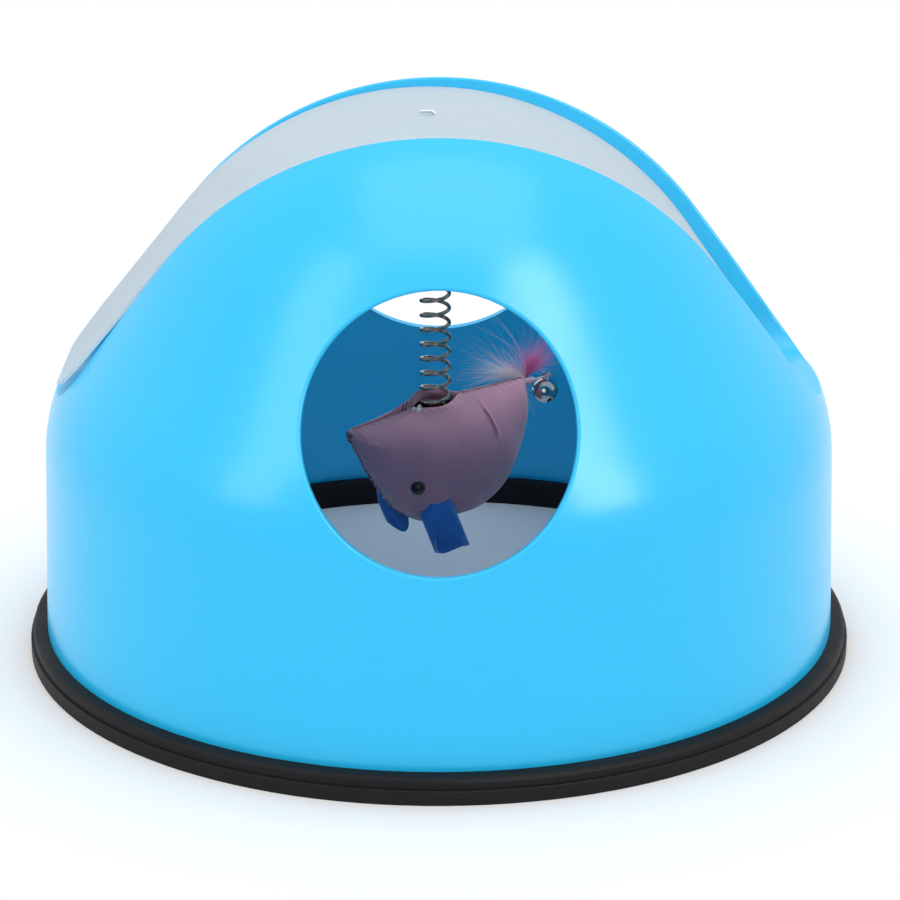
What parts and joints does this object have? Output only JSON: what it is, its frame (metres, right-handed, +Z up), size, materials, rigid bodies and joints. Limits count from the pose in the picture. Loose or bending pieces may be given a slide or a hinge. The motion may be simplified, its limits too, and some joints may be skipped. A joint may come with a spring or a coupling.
{
  "type": "dome cat toy with a sprung mouse",
  "caption": "Round plastic dome on a rubber ring, with paw holes and a bent roof strip from which a plush mouse with a bell and feathers hangs on a coil spring.",
  "frame": {"origin": "middle of the base ring's underside", "axes": "+Z up, -Y through the front paw hole, X along the roof slot"},
  "size_m": [0.2542, 0.2542, 0.1664],
  "materials": {
    "shell_plastic": "glossy moulded",
    "strip_sheet": "milky translucent sheet",
    "ring_rubber": "moulded satin rubber",
    "spring_steel": "drawn wire",
    "mouse_cloth": "short napped cloth",
    "filling": "fibre filling",
    "glue": "hot glue",
    "ear_felt": "pressed felt",
    "eye_bead": "polished bead",
    "thread": "sewing thread",
    "feather_pink": "dyed down",
    "feather_white": "down",
    "bell_nickel": "nickel plated"
  },
  "bodies": {
    "dome": {"dome_shell": "shell_plastic", "roof_strip": "strip_sheet", "base_ring": "ring_rubber"},
    "swivel": {"swivel_pin": "spring_steel"},
    "coil": {"spring": "spring_steel"},
    "mouse": {"mouse_near_side": "mouse_cloth", "mouse_far_side": "mouse_cloth", "mouse_filling": "filling", "glue_plug": "glue", "near_ear": "ear_felt", "far_ear": "ear_felt", "near_eye": "eye_bead", "far_eye": "eye_bead", "tail_binding": "thread", "bell_thread": "thread", "pink_feather": "feather_pink", "white_feather": "feather_white"},
    "bell": {"bell_upper_half": "bell_nickel", "bell_lower_half": "bell_nickel", "bell_shank": "bell_nickel"},
    "pea": {"bell_pea": "bell_nickel"}
  },
  "joints": [
    {"name": "mouse_spin", "type": "hinge", "parent": "dome", "child": "swivel", "pos_m": [-0.0011, 0, 0.1638], "axis": [0, 0, 1], "continuous": true},
    {"name": "mouse_swing", "type": "hinge", "parent": "swivel", "child": "coil", "pos_m": [-0.0011, 0, 0.15559], "axis": [0, 1, 0], "range_deg": [-22, 22]},
    {"name": "mouse_bob", "type": "slide", "parent": "coil", "child": "mouse", "axis": [0, 0, 1], "range_m": [-0.018, 0.012], "stiffness_N_per_m": 14, "springref_m": 0.00785, "deforming": ["spring"]},
    {"name": "bell_swing", "type": "hinge", "parent": "mouse", "child": "bell", "pos_m": [0.03316, 0.01597, 0.07768], "axis": [0.8956, 0.4176, 0.153], "range_deg": [-35, 35]},
    {"name": "pea_rattle", "type": "slide", "parent": "bell", "child": "pea", "axis": [0, 0, 1], "range_m": [0, 0.004]}
  ]
}
